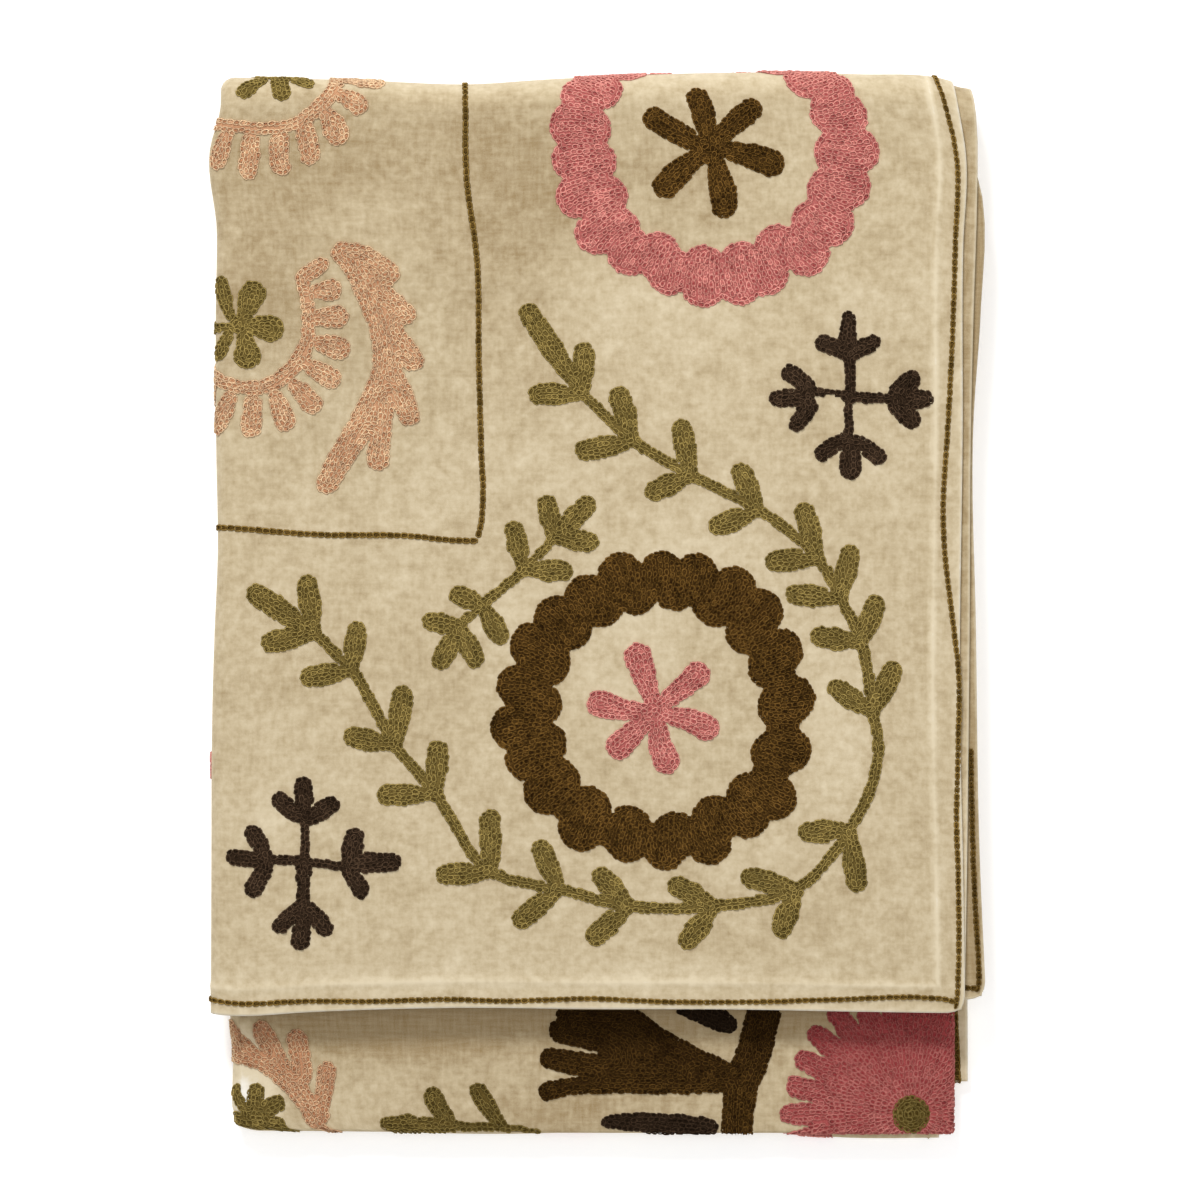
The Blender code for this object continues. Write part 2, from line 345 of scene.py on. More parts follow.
# Embroidery. A shape is a union of strokes, and a stroke is a list of (across, up, radius).
# Its rows of chain stitch follow its outline inwards, a row's width apart.

chain = {
    "pitch": 2.55,  # one stitch
    "rowWidth": 2.4,
    "edge": 1.0,  # the first row's distance from the outline
    "rowSlack": 0.15,  # in rows: how much wider a row may be before there is one more
    "narrowest": 1.95,  # row
    "lastRow": 0.3,  # in rows: the nearest to the middle that one runs
    "gapFrom": 1.6,  # the finer lines that find gaps
    "gapStep": 0.4,
    "rayFrom": 1.6,  # how deep the rows across a shape begin
    "groundEdge": 0.3,  # where the thread's ground begins under the first row
    "groundHeight": 0.13,
    "groundShade": 0.35,
    "crowding": 1.55,  # the nearest that two stitches may be
    "fillRoom": 1.7,  # and where the rows leave a gap
    "fieldStep": 0.55,  # the grid that finds the rows
    "melt": 0.4,  # how softly strokes run together
    "shortest": 0.5,  # in stitches: a shorter line has none
    "aimReach": 0.45,
    "jitter": 0.17,
    "turnJitter": 0.13,
    "sizeJitter": 0.09,
    "gapJitter": 0.5,
    "heightJitter": 0.12,
    "levels": (-0.05, 0.08),  # how much lower or higher a stitch lies
    "hemLineSize": 1.04,  # of the stitches in the hem lines
    "backLineScale": 1.4,  # and how much larger on the lowest layer
    "frameLineSize": 1.14,
    "linePitch": 3.0,
    "lineCalm": 0.3,  # how much of the jitter these have
}


def strokeDistance(stroke, x, y):  # how deep a point lies inside a stroke
    if len(stroke) == 1:
        a, b, r = stroke[0]
        return r - np.hypot(x - a, y - b)
    best = np.full(x.shape, -1e3)
    for (a, b, r), (c, d, s) in zip(stroke, stroke[1:]):
        length2 = (c - a) ** 2 + (d - b) ** 2
        t = np.clip(((x - a) * (c - a) + (y - b) * (d - b)) / length2, 0, 1)
        gap = np.hypot(x - a - t * (c - a), y - b - t * (d - b))
        best = np.maximum(best, r + t * (s - r) - gap)
    return best


def walkEdges(bm, fewest=6, closing=1.5):  # the lines that loose edges make, open ones first
    lines, seen = [], set()
    for start in sorted(bm.verts, key=lambda v: len(v.link_edges)):
        line, vert = [], None if start in seen else start
        while vert is not None:
            seen.add(vert)
            line.append((vert.co.x, vert.co.y))
            ahead = (e.other_vert(vert) for e in vert.link_edges)
            vert = next((v for v in ahead if v not in seen), None)
        if len(line) >= fewest:
            closed = hypot(line[0][0] - line[-1][0], line[0][1] - line[-1][1]) < closing
            lines.append(np.array(line + line[:1] if closed else line))
    return lines


def contour(field, xs, ys, level):  # the lines where the field has this level
    above = field > level
    cells = above[:-1, :-1].astype(int) + above[1:, :-1] + above[1:, 1:] + above[:-1, 1:]
    bm = bmesh.new()
    verts = {}

    def crossing(i, j, k, m):
        key = (i, j, k, m)
        if key not in verts:
            t = (level - field[i, j]) / (field[k, m] - field[i, j])
            verts[key] = bm.verts.new((xs[i] + t * (xs[k] - xs[i]), ys[j] + t * (ys[m] - ys[j]), 0))
        return verts[key]

    for i, j in zip(*np.nonzero((cells > 0) & (cells < 4))):
        corners = [(i, j), (i + 1, j), (i + 1, j + 1), (i, j + 1)]
        sides = zip(corners, corners[1:] + corners[:1])
        found = [crossing(*min(a, b), *max(a, b)) for a, b in sides if above[a] != above[b]]
        for one, two in zip(found[::2], found[1::2]):
            bm.edges.new((one, two))
    lines = walkEdges(bm)
    bm.free()
    return lines


def distanceTo(points, x, y, batch=200):
    best = np.full(x.shape, 1e9)
    for i in range(0, len(points), batch):
        part = points[i:i + batch]
        gap = (x[..., None] - part[:, 0]) ** 2 + (y[..., None] - part[:, 1]) ** 2
        best = np.minimum(best, gap.min(axis=-1))
    return np.sqrt(best)


class Shape:  # a union of strokes, as a field of depths on a fine grid
    def __init__(self, strokes):
        step = chain["fieldStep"]
        points = np.array([point for stroke in strokes for point in stroke])
        low = np.floor((points[:, :2] - points[:, 2:]).min(axis=0) / step / 2 - 1).astype(int) * 2
        high = np.ceil((points[:, :2] + points[:, 2:]).max(axis=0) / step / 2 + 1).astype(int) * 2
        self.low, self.step = low, step
        self.xs, self.ys = (step * np.arange(low[k], high[k] + 1) for k in (0, 1))
        x, y = np.meshgrid(self.xs, self.ys, indexing="ij")
        depths = np.array([strokeDistance(stroke, x, y) for stroke in strokes]) / chain["melt"]
        self.field = chain["melt"] * np.logaddexp.reduce(depths, axis=0)
        self.first = contour(self.field, self.xs, self.ys, chain["edge"])
        inside = self.field > chain["edge"] - step
        self.depth = np.where(inside, 0.0, -step)
        if self.first:
            self.depth[inside] = distanceTo(np.vstack(self.first), x[inside], y[inside])
        self.depth[self.field < chain["edge"]] *= -1
        self.widest = self.depth.max()

    def linesAt(self, depths):
        return [line for depth in depths for line in contour(self.depth, self.xs, self.ys, depth)]

    def rows(self):  # from the first row inwards
        shares = max(1, ceil(2 * self.widest / chain["rowWidth"] - chain["rowSlack"]))
        pitch = max(2 * self.widest / shares, chain["narrowest"])
        deepest = self.widest - chain["lastRow"] * pitch
        return self.linesAt(k * pitch for k in range(1, shares // 2 + 1) if k * pitch < deepest)

    def finerLines(self):
        return self.linesAt(np.arange(chain["gapFrom"], self.widest, chain["gapStep"]))

    def deepPart(self, line, depth):
        i, j = (np.clip(np.round(line[:, k] / self.step - self.low[k]).astype(int), 0,
                        self.depth.shape[k] - 1) for k in (0, 1))
        return line[self.depth[i, j] > depth]

    def cells(self):  # every second square that is wholly inside
        inside = self.field[::2, ::2] > chain["groundEdge"]
        whole = inside[:-1, :-1] & inside[1:, :-1] & inside[1:, 1:] & inside[:-1, 1:]
        return [(self.low[0] // 2 + i, self.low[1] // 2 + j) for i, j in zip(*np.nonzero(whole))]


def lengthsAlong(line):
    return np.concatenate([[0], np.cumsum(np.hypot(*np.diff(line, axis=0).T))])


def pointsAt(line, run, places):
    return np.stack([np.interp(places, run, line[:, k]) for k in (0, 1)], axis=1)


corner = {
    "sharp": 0.95,  # how much a line turns there
    "reach": 1.3,  # over this distance each way
    "apart": 2.2,
    "fromEnd": 2,
    "shortest": 1.2,  # part between two corners
    "step": 0.35,
    "fewest": 12,  # steps in a line that may have any
}


def splitAtCorners(line):
    run = lengthsAlong(line)
    whole, step = run[-1], corner["step"]
    closed = hypot(*(line[0] - line[-1])) < 0.01
    at = np.arange(0, whole, step)
    if len(at) < corner["fewest"]:
        return [line]

    def point(places):
        return pointsAt(line, run, np.mod(places, whole) if closed else np.clip(places, 0, whole))

    here, ahead, behind = (point(at + shift) for shift in (0, corner["reach"], -corner["reach"]))
    (a, b), (c, d) = (here - behind).T, (ahead - here).T
    turn = np.abs(np.arctan2(a * d - b * c, a * c + b * d))
    window = int(corner["apart"] / step)
    padded = np.pad(turn, window, mode="wrap" if closed else "edge")
    best = np.max([padded[k:k + len(turn)] for k in range(2 * window + 1)], axis=0)
    cuts = list(at[(turn > corner["sharp"]) & (turn >= best)])
    if closed and not cuts:
        return [line]
    if closed:
        cuts.append(cuts[0] + whole)
    else:
        margin = corner["fromEnd"]
        cuts = [0] + [t for t in cuts if margin < t < whole - margin] + [whole]
    return [point(np.linspace(a, b, max(4, round((b - a) / step))))
            for a, b in zip(cuts, cuts[1:]) if b - a > corner["shortest"]]


def stepAlong(line, pitch):  # stitches of one length along a line: middle and direction
    stitches = []
    for part in splitAtCorners(line):
        run = lengthsAlong(part)
        if run[-1] < chain["shortest"] * pitch:
            continue
        count = max(1, round(run[-1] / pitch))
        at = (np.arange(count) + 0.5) * run[-1] / count
        reach = run[-1] / count * chain["aimReach"]
        middle, ahead, behind = (pointsAt(part, run, at + shift) for shift in (0, reach, -reach))
        turn = np.arctan2(*(ahead - behind).T[::-1])
        stitches += list(zip(*middle.T, turn))
    return stitches


shown = {
    "pastEnd": 1.5,  # how far round the end fold and the side fold there are stitches
    "pastSide": 2,
    "tailFrom": 822,  # on the lower layer, where the front section's hem covers it
    "beforeTurn": 8,  # of the left and top folds, where the underside's pieces begin
    "afterTurn": 9,
}


def isShown(across, up):  # on the outside of the bundle, in the first quarter of the cloth
    if up > clothLength / 2 + shown["pastEnd"] or across > clothWidth / 2 + shown["pastSide"]:
        return False
    return across < leftFoldEnd or up > shown["tailFrom"]


class StitchBook:  # the stitches laid so far, so that none is laid on another
    def __init__(self):
        self.cells = {}  # two millimetres wide
        self.byThread = {}
        self.ground = {}  # squares of the thread's ground, and whose they are

    def nameFor(self, thread, x, y):
        below = (x < leftFoldEnd - shown["beforeTurn"]
                 and topFoldEnd - shown["beforeTurn"] < y < clothLength / 2 + shown["afterTurn"])
        return thread + ("Under" if below else "")

    def isFree(self, x, y, room):
        i, j = int(x // 2), int(y // 2)
        near = [self.cells.get((a, b), ()) for a in (i - 1, i, i + 1) for b in (j - 1, j, j + 1)]
        return all((u - x) ** 2 + (v - y) ** 2 >= room ** 2 for cell in near for u, v in cell)

    def lay(self, thread, line, room=chain["crowding"], size=1, inside=False, pitch=chain["pitch"]):
        for x, y, turn in stepAlong(line, pitch):
            if (inside or isShown(x, y)) and self.isFree(x, y, room):
                laid = self.byThread.setdefault(self.nameFor(thread, x, y), [])
                laid.append((x, y, turn, size))
                self.cells.setdefault((int(x // 2), int(y // 2)), []).append((x, y))

    def fill(self, thread, strokes, rays=None):
        shape = Shape(strokes)
        if rays is None:
            across = shape.rows()
        else:
            across = [shape.deepPart(line, chain["rayFrom"]) for line in rays]
        for line in shape.first + [line for line in across if len(line) > 3]:
            self.lay(thread, line)
        spines = [np.array(stroke)[:, :2] for stroke in strokes if len(stroke) > 1]
        for line in spines + shape.finerLines():
            self.lay(thread, line, chain["fillRoom"])
        size = 2 * shape.step
        for i, j in shape.cells():
            if isShown((i + 0.5) * size, (j + 0.5) * size):
                self.ground.setdefault((i, j), thread)

    def run(self, points, size, inside=False):  # one row along a line of points
        self.lay("chainLine", roundLine(points), size=size, inside=inside,
                 pitch=chain["linePitch"])


def roundLine(points, step=1.0):  # a smooth curve through a few points
    points = np.array(points, float)
    run = lengthsAlong(points)
    at = np.linspace(0, run[-1], max(2, round(run[-1] / step)))
    if len(points) < 3:
        return pointsAt(points, run, at)
    return np.stack([readCurve(run, points[:, k], at) for k in (0, 1)], axis=1)


book = StitchBook()
leafShape = {"base": 0.5, "middle": 0.52, "tip": 0.9, "past": 1.1}


def leafStroke(a, b, c, d, width):  # widest at its middle
    length = hypot(c - a, d - b)
    x, y = (c - a) / length, (d - b) / length
    middle = leafShape["middle"] * length
    end = length + leafShape["past"] - leafShape["tip"] * width
    return [(a, b, leafShape["base"] * width), (a + middle * x, b + middle * y, width),
            (a + end * x, b + end * y, leafShape["tip"] * width)]


def crossRays(centre, near, far, count, bow):  # slightly bowed lines outwards from a centre
    along = np.linspace(0, 1, 90)
    reach = near + (far - near) * along
    for t in np.linspace(0, 2 * pi, count, endpoint=False):
        turn = t + bow * np.sin(pi * along)
        yield np.stack([centre[0] + reach * np.cos(turn), centre[1] + reach * np.sin(turn)], axis=1)


def layRing(thread, ring):  # a band scalloped inside and out, with rows across it
    a, b = ring["centre"]
    core, width = ringBand["core"], ringBand["width"]
    strokes = [[(a + core * cos(t), b + core * sin(t), width) for t in np.linspace(0, 2 * pi, 49)]]
    for side, sign in (("outer", -1), ("inner", 1)):
        size = ring[side]["size"]
        for turn, reach in zip(ring[side]["turns"], ring[side]["reach"]):
            t, far = radians(turn + ring["turned"]), reach + sign * size
            strokes.append([(a - far * cos(t), b + far * sin(t), size)])
    book.fill(thread, strokes, crossRays(ring["centre"], **ringBand["rays"]))


def layVine(thread, vine):
    east, north = vine["shift"]
    nodes = [[(x + east, y + north) for x, y in node] for node in vine["nodes"]]
    stem = roundLine([node[0] for node in nodes], 3.0)
    strokes = [[(x, y, vine["stem"]) for x, y in stem]]
    strokes += [leafStroke(*node, *tip, vine["leaf"]) for node, *tips in nodes for tip in tips]
    book.fill(thread, strokes)


def moved(shape, across, up):
    return [[(a + across, b + up, r) for a, b, r in stroke] for stroke in shape]


ringBand = {"core": 56, "width": 7, "rays": {"near": 40, "far": 74, "count": 148, "bow": 0.045}}

# Each scallop's own direction, in degrees, and how far it reaches from the centre
cornerRing = {
    "centre": (132, 129), "turned": 0,
    "outer": {
        "size": 10,
        "turns": [5, 25, 43, 57, 73, 87, 104, 121, 137, 152, 170, 187, 201, 217, 238, 258, 274, 292,
                  311, 324, 344],
        "reach": [70, 70, 72.3, 72.3, 70.5, 69, 70, 66.7, 67.7, 69.5, 69, 71.4, 68.6, 68.6, 70, 67,
                  69, 71, 69.7, 73.2, 70],
    },
    "inner": {
        "size": 10.5,
        "turns": [2, 21, 40, 60, 80, 99, 117, 136, 156, 177, 197, 216, 236, 257, 279, 299, 318, 340],
        "reach": [44.7, 44, 43.2, 43, 43.7, 42, 41.6, 41.6, 40.5, 40.2, 40.3, 42.3, 41.6, 42.3,
                  44.4, 43.4, 45, 45],
    },
}
roseRing = {
    "centre": (108, 372), "turned": 0,
    "outer": {
        "size": 10,
        "turns": [12, 23, 36, 51, 67, 84, 100, 117, 131, 145, 158, 171, 185, 200, 217, 233, 252,
                  267, 282, 293, 311, 326, 342, 357],
        "reach": [68.7, 68.5, 69, 70, 70, 70, 70, 70, 70, 69, 68.6, 70.5, 69.2, 71, 71.2, 67.8,
                  67.4, 70, 70.4, 70, 72, 71.2, 70, 70.8],
    },
    "inner": {
        "size": 10,
        "turns": [13, 33, 52, 72, 92, 112, 132, 152, 172, 188, 206, 222, 244, 266, 284, 302, 322,
                  338, 355],
        "reach": [44.2, 42.4, 43, 43, 43, 43, 43, 43.6, 43.7, 42, 41.6, 45, 43, 43.7, 43.7, 43.2,
                  45.6, 43.7, 42.8],
    },
}
underRing = {**cornerRing, "centre": (108, 620), "turned": 100}
lastRing = {**roseRing, "centre": (112, 868), "turned": 140}

# A shape is a list of strokes that are filled as one
roseFlower = [
    [(132.4, 131.6, 3.3), (136.9, 145.6, 5.4), (139.1, 152, 6)],
    [(129.3, 131.2, 3.2), (120, 138.6, 4.7), (113.5, 144.3, 5.6)],
    [(128.1, 127.8, 3.4), (116.6, 124.8, 5.1), (109.7, 121.4, 5.5)],
    [(130.9, 124.7, 3.6), (129.7, 114, 5), (127.1, 107.5, 5.8)],
    [(134.5, 125.6, 3.4), (142.6, 118.3, 5.2), (147.4, 113.6, 5.8)],
    [(136.2, 128.5, 3.2), (146.9, 129.6, 4.8), (155.5, 131.7, 5.8)],
    [(131.9, 128.2, 5.5)],
]
oliveFlower = [
    [(114.6, 371.4, 4), (124, 377, 5.1), (132.4, 382.6, 4.9)],
    [(110, 375.7, 3.8), (111.3, 384.7, 5.3), (112.8, 390.6, 5)],
    [(105, 374.6, 3.9), (97.4, 380.7, 4.9), (90, 386, 4.5)],
    [(102, 368.4, 3.6), (91.6, 365.8, 5.6), (83.9, 363.1, 5.8)],
    [(107, 362.6, 3.9), (104.8, 353.7, 5.6), (103.1, 345.3, 5.6)],
    [(115.5, 365.4, 4), (122.4, 359.9, 5.6), (128.2, 354.2, 5.7)],
    [(109.6, 369.3, 6.6)],
]

vine = {
    "stem": 2.35, "leaf": 4.9, "shift": (-0.5, -0.5),
    "nodes": [  # a node, and the tips of its leaves
        [(164, 266), (189, 304), (163, 287), (186, 266)],
        [(142, 246), (149, 268), (166, 241)],
        [(117, 231), (122, 254), (136, 223)],
        [(88, 216), (97, 235), (108, 208)],
        [(62, 195), (69, 218), (84, 194)],
        [(52, 178), (48, 200), (75, 180)],
        [(43, 159), (36, 178), (64, 162)],
        [(38, 129), (28, 150), (56, 141)],
        [(36, 118)],
        [(38, 101)],
        [(49, 79), (70, 77), (46, 53)],
        [(72, 53), (95, 58), (80, 33)],
        [(107, 45), (126, 55), (121, 28)],
        [(144, 45), (158, 60), (161, 30)],
        [(174, 52), (183, 72), (193, 37)],
        [(203, 59), (204, 85), (226, 58)],
        [(227, 93), (226, 115), (251, 93)],
        [(244, 114), (241, 139), (265, 119)],
        [(263, 147), (261, 167), (284, 144)],
        [(279, 163), (284, 187), (301, 159), (308, 182)],
    ],
}
sprig = {
    "stem": 2.1, "leaf": 4.7, "shift": (-0.5, -0.5),
    "nodes": [
        [(176, 204), (160, 220), (180, 221), (158, 202)],
        [(189, 190), (194, 210), (169, 190)],
        [(207, 175), (220, 180), (198, 159)],
        [(217, 166), (232, 168), (226, 148), (209, 149)],
    ],
}

sideCross = [
    [(49.2, 282.6, 3.6), (49.5, 290.2, 3.9), (49, 297.7, 3.1)],
    [(51.4, 283.3, 3.2), (55.6, 285.5, 3.6), (60, 287.2, 3.6)],
    [(46.7, 283.3, 3.2), (42.9, 285.3, 3.6), (38.8, 287.3, 3.4)],
    [(48.4, 244.5, 3.8), (48.3, 238.6, 4.6), (48, 232.8, 4.4)],
    [(51.4, 245.8, 2.9), (55.6, 243.3, 3.6), (59.9, 240.3, 3.6)],
    [(45.4, 245, 2.9), (40.7, 242, 3.6), (36.2, 238.6, 3.6)],
    [(27.6, 265.7, 4.3), (22.3, 271.2, 4.4)],
    [(27.2, 263.2, 5.1), (16.7, 263.1, 3.9)],
    [(27.6, 260.2, 4.3), (22.1, 254.6, 4.3)],
    [(66.7, 268.2, 3.6), (70.6, 271.6, 3.9), (74, 274.3, 3.8)],
    [(67.6, 264, 4.1), (73.6, 263.6, 3.9), (79.7, 263.4, 3.6)],
    [(66.7, 259.8, 4.3), (68.9, 255.6, 3.9), (71.2, 252.9, 3.6)],
    [(48.4, 262.9, 2.2), (48.7, 281, 2.3)],
    [(49.1, 265.2, 1.9), (49.2, 254.7, 1.8), (48.8, 245, 2)],
    [(49.5, 264.3, 2.2), (29, 263.2, 2.2)],
    [(67, 267, 1.9), (61.6, 266.1, 1.7), (49.4, 264.8, 1.7)],
]
lowCross = [
    [(282.1, 84.4, 3.4), (282.4, 91.1, 4.1), (282.7, 97.5, 3.8)],
    [(284.8, 84.5, 3.1), (289.2, 88.3, 3.8), (292.6, 91.8, 3.4)],
    [(279.9, 83.4, 3.1), (275.5, 85.9, 4), (271.5, 88.5, 4)],
    [(282.9, 44.6, 3.1), (283.1, 37.5, 4.1), (283.8, 30.8, 4)],
    [(284.7, 45.2, 2.9), (288.7, 41.4, 3.8), (292, 38.3, 3.8)],
    [(280.3, 44.5, 2.9), (276.3, 39.9, 3.8), (273.4, 36, 3.8)],
    [(299, 68.8, 3.2), (301.7, 73.8, 4), (304.2, 77.9, 3.8)],
    [(299.9, 66.7, 3.4), (306.1, 67.3, 3.6), (312.2, 67.9, 3.4)],
    [(299, 63.1, 3.6), (301.6, 58.7, 4.1), (303.6, 55, 4.1)],
    [(262.6, 66.2, 3.8), (261.7, 70.7, 4.5), (261, 74.3, 4)],
    [(262.6, 62.8, 4), (254.6, 63.3, 4.5), (245.1, 63.4, 4.1)],
    [(263.5, 59.5, 2.9), (260.4, 55.4, 3.8), (258.2, 51.9, 3.8)],
    [(282.4, 65.6, 2.7), (282.3, 61.6, 3.6), (282.5, 58.9, 3.1)],
    [(282.5, 58.2, 2.6), (282.6, 43.2, 2.8)],
    [(282.1, 64, 1.8), (282, 84.3, 1.85)],
    [(300, 67, 2.1), (282.7, 65.2, 2.1)],
    [(282.4, 64.8, 1.75), (272.3, 63.4, 1.75), (262.6, 61.2, 2.1)],
]

foldLobes = [  # round the left fold
    [(284.6, 316.2, 3), (280.2, 319, 3.8), (276.7, 321.1, 3.4)],
    [(278.1, 309.9, 3.5), (272.4, 310.5, 4.8)],
    [(277.2, 298.6, 3.8), (269.6, 299, 5)],
    [(277.4, 287.5, 3.3), (271.7, 286.3, 4.8), (268.3, 285.3, 5)],
    [(282.5, 278.2, 3), (276.2, 274.6, 4.6), (272.1, 272.4, 4.6)],
    [(288.2, 269.6, 3), (283.8, 265.2, 4.6), (280.6, 261.4, 4.6)],
    [(296.2, 263.9, 3.3), (293.7, 258.9, 4.6), (292.1, 253.9, 4.6)],
    [(305.9, 262, 3.8), (306.2, 255.7, 4.6), (307, 251.3, 4.6)],
    [(316, 263.3, 3.3), (319.5, 257, 4.5), (322, 252.5, 4.5)],
    [(327, 268, 3.3), (332, 262, 4.6), (336, 258, 4.6)],
    [(284.5, 314.3, 3.1), (282.3, 306.1, 3), (281.8, 297.3, 3), (282.2, 289.1, 3.3),
     (284.4, 282.8, 3.5), (288.8, 276.5, 3.5), (295.7, 270.8, 3.4), (303.3, 267.9, 3.1),
     (311.5, 268.3, 3), (319, 270.5, 3), (329.2, 275.5, 3), (338, 284, 3)],
]
foldFlower = [
    [(309.4, 299.8, 3.6), (307.1, 306, 5.4), (306.1, 308.6, 5.7)],
    [(306.6, 294.9, 3.2), (301.8, 294.3, 4.8), (298.3, 293.7, 5.8)],
    [(309.4, 289.6, 3.4), (308.3, 282.5, 6.1)],
    [(316.6, 290.8, 2.4), (319.8, 285.2, 3.4), (321, 283.2, 3.4)],
    [(316.5, 294, 2), (322, 293.8, 2), (331, 294.6, 3.8)],
    [(316, 299.4, 2.4), (318.8, 307.5, 3.6), (320.4, 312.8, 3.6)],
    [(312.4, 295.2, 3.7)],
]
topLobes = [  # over the top fold
    [(316.1, 376, 3.4), (317.4, 370.4, 4.3), (318.5, 366, 4.1)],
    [(305.5, 374.9, 3.9), (304.5, 368.4, 4.3), (305.4, 361.9, 4.1)],
    [(293.2, 375.1, 4.1), (292.2, 368.6, 4.3), (291.3, 363.9, 4.1)],
    [(283.2, 379.6, 3.9), (280, 373.1, 4.3), (279.1, 368.8, 4.3)],
    [(276, 387.5, 3), (271, 381.5, 5.2), (268.5, 377.7, 4.7)],
    [(268.2, 395.1, 3.4), (264.2, 392.9, 4.7), (261.6, 391.2, 4.7)],
    [(266, 406, 3.4), (259, 404.5, 4.7), (254, 404, 4.6)],
    [(267, 418, 3.4), (260, 420, 4.7), (255, 422, 4.6)],
    [(329.9, 382.2, 2.6), (313.8, 380.7, 2.5), (304.9, 380, 2.5), (297.6, 380.2, 2.6),
     (290.1, 381.2, 2.8), (284.3, 384.3, 3.4), (278.4, 390, 3.4), (273.5, 395.5, 3.4),
     (271, 402, 3.2), (270.4, 409, 3.2), (272, 418, 3), (278, 427, 3), (288, 433, 3)],
]
topFlower = [
    [(303.7, 403.6, 2.6), (309.5, 398, 3.7), (311.5, 396, 3.6)],
    [(296, 403.9, 3.9), (295.5, 396, 4.1)],
    [(290.5, 405.5, 3.2), (284, 402, 3.6)],
    [(290, 412, 3), (284, 417, 3.8)],
    [(297, 416, 3.2), (298, 425, 4.4)],
    [(304, 413, 3), (310, 418, 4)],
    [(297, 409, 5)],
]
feather = [
    [(267, 326.5, 5.3), (258, 323.4, 6.8), (248.2, 318.2, 5.8)],
    [(262.5, 322.7, 5.8), (255.4, 312.7, 7.5), (249.4, 300.1, 8), (246.8, 288.7, 7.3),
     (247.7, 277.3, 6.5), (250.3, 268.4, 5.8)],
    [(252.2, 309, 6.3), (244.6, 304, 5.3), (239.5, 300.3, 4.5)],
    [(244.5, 288.7, 6.3), (239.5, 283.7, 5.5), (236.7, 280.4, 4.8)],
    [(245.8, 273.5, 5), (242, 265.9, 5.3), (238.5, 256.8, 4.8)],
    [(250.9, 268.4, 5.7), (257.9, 253.3, 6.3), (266.2, 240.7, 5.5), (274, 227.5, 5)],
    [(249.4, 260.8, 4.5), (251, 248.2, 5), (252, 237.4, 4.8)],
]

tailLobes = [
    [(342.1, 842.1, 3), (336.5, 838.2, 4.2), (328, 831.5, 4.5)],
    [(353.3, 847, 4.2), (348.9, 837.7, 4.5), (345.8, 831.7, 4.5)],
    [(363.7, 850.6, 4.4), (361.8, 839.8, 4.8), (361, 835.6, 4.8)],
    [(371.5, 867.7, 4), (373.9, 854.9, 4.1), (374.7, 848.7, 4.2)],
    [(318, 840.5, 4), (331, 841.7, 4), (339.9, 843, 4), (345.7, 845, 4.2), (353.4, 849.5, 4.8),
     (360.5, 855.5, 4.9), (365.6, 862.4, 4.8), (368.7, 870, 4.3), (371, 880, 3.6)],
]
tailFlower = [
    [(339, 868, 3.2), (334, 861.5, 3.5), (332, 857.8, 3.4)],
    [(341.5, 867, 3.2), (342.8, 861, 3.9), (343, 858.3, 3.9)],
    [(343.5, 868, 3.2), (349, 864.6, 3.9), (352, 863, 3.8)],
    [(343, 871, 3.2), (351, 872, 3.8)],
    [(338, 871, 3.2), (331, 870, 3.5)],
    [(340, 870, 4.4)],
]
tailSprig = [
    [(401.8, 871.8, 3.6), (412.3, 871.5, 4.1), (428.3, 871.8, 3)],
    [(423.4, 859.6, 4.3), (426.5, 865.3, 4.3), (431.9, 872, 3)],
    [(443.6, 857.4, 4), (448, 863.9, 3.9), (453.3, 871.6, 2.8)],
    [(426, 872.2, 2.3), (439.4, 872.4, 2), (454, 872.6, 1.9), (470, 875, 1.5)],
]
palmette = [
    [(483.1, 825.4, 5.6), (508.9, 828.9, 8.2), (522.9, 837.1, 7), (537, 843.6, 5.8),
     (551.1, 849.4, 5.3)],
    [(479.5, 831, 5.1), (497.1, 833.6, 6.4), (520.6, 844.2, 8.2)],
    [(475.1, 842.7, 4.4), (485.4, 844.8, 5.1), (503, 847.1, 5.8), (532.3, 851.2, 6.4)],
    [(473.9, 856.9, 4.2), (483.1, 854.8, 3.7), (497.1, 853.8, 4), (520.6, 854.1, 4),
     (548.7, 853.5, 4.2)],
    [(568.1, 821.9, 7.2), (563, 840.6, 7.7), (557.5, 854.7, 7.5), (556.2, 866.4, 6.8),
     (556, 878, 6.7)],
]
blackLeaves = [
    [(532.3, 819.5, 4.7), (546.4, 825.2, 4.7), (552, 828.2, 4)],
    [(499.7, 870.2, 2.8), (514.7, 870.4, 4.4), (532.3, 871.7, 4.9), (544, 872.5, 3.7)],
]
peony = {
    "centre": (631.4, 866.8),
    "disc": 8.1,
    "petals": 27,
    "reach": 57,
    "wave": 1.2,  # how uneven the reach is
    "waves": 5,
    "root": 3,  # half widths of a petal
    "width": 5.3,
    "widestAt": 0.78,
    "tip": 4.4,
    "rays": {"near": 6, "far": 60, "count": 110, "bow": 0.02},
}


def layPeony(thread, discThread, flower):
    a, b = flower["centre"]
    book.fill(discThread, [[(a, b, flower["disc"])]])
    petals = []
    for k in range(flower["petals"]):
        t = 2 * pi * (k + 0.5) / flower["petals"]
        end = flower["reach"] - flower["tip"] + flower["wave"] * sin(flower["waves"] * t)
        widest = flower["widestAt"] * end
        petals.append([(a, b, flower["root"]),
                       (a + widest * cos(t), b + widest * sin(t), flower["width"]),
                       (a + end * cos(t), b + end * sin(t), flower["tip"])])
    book.fill(thread, petals, crossRays(flower["centre"], **flower["rays"]))


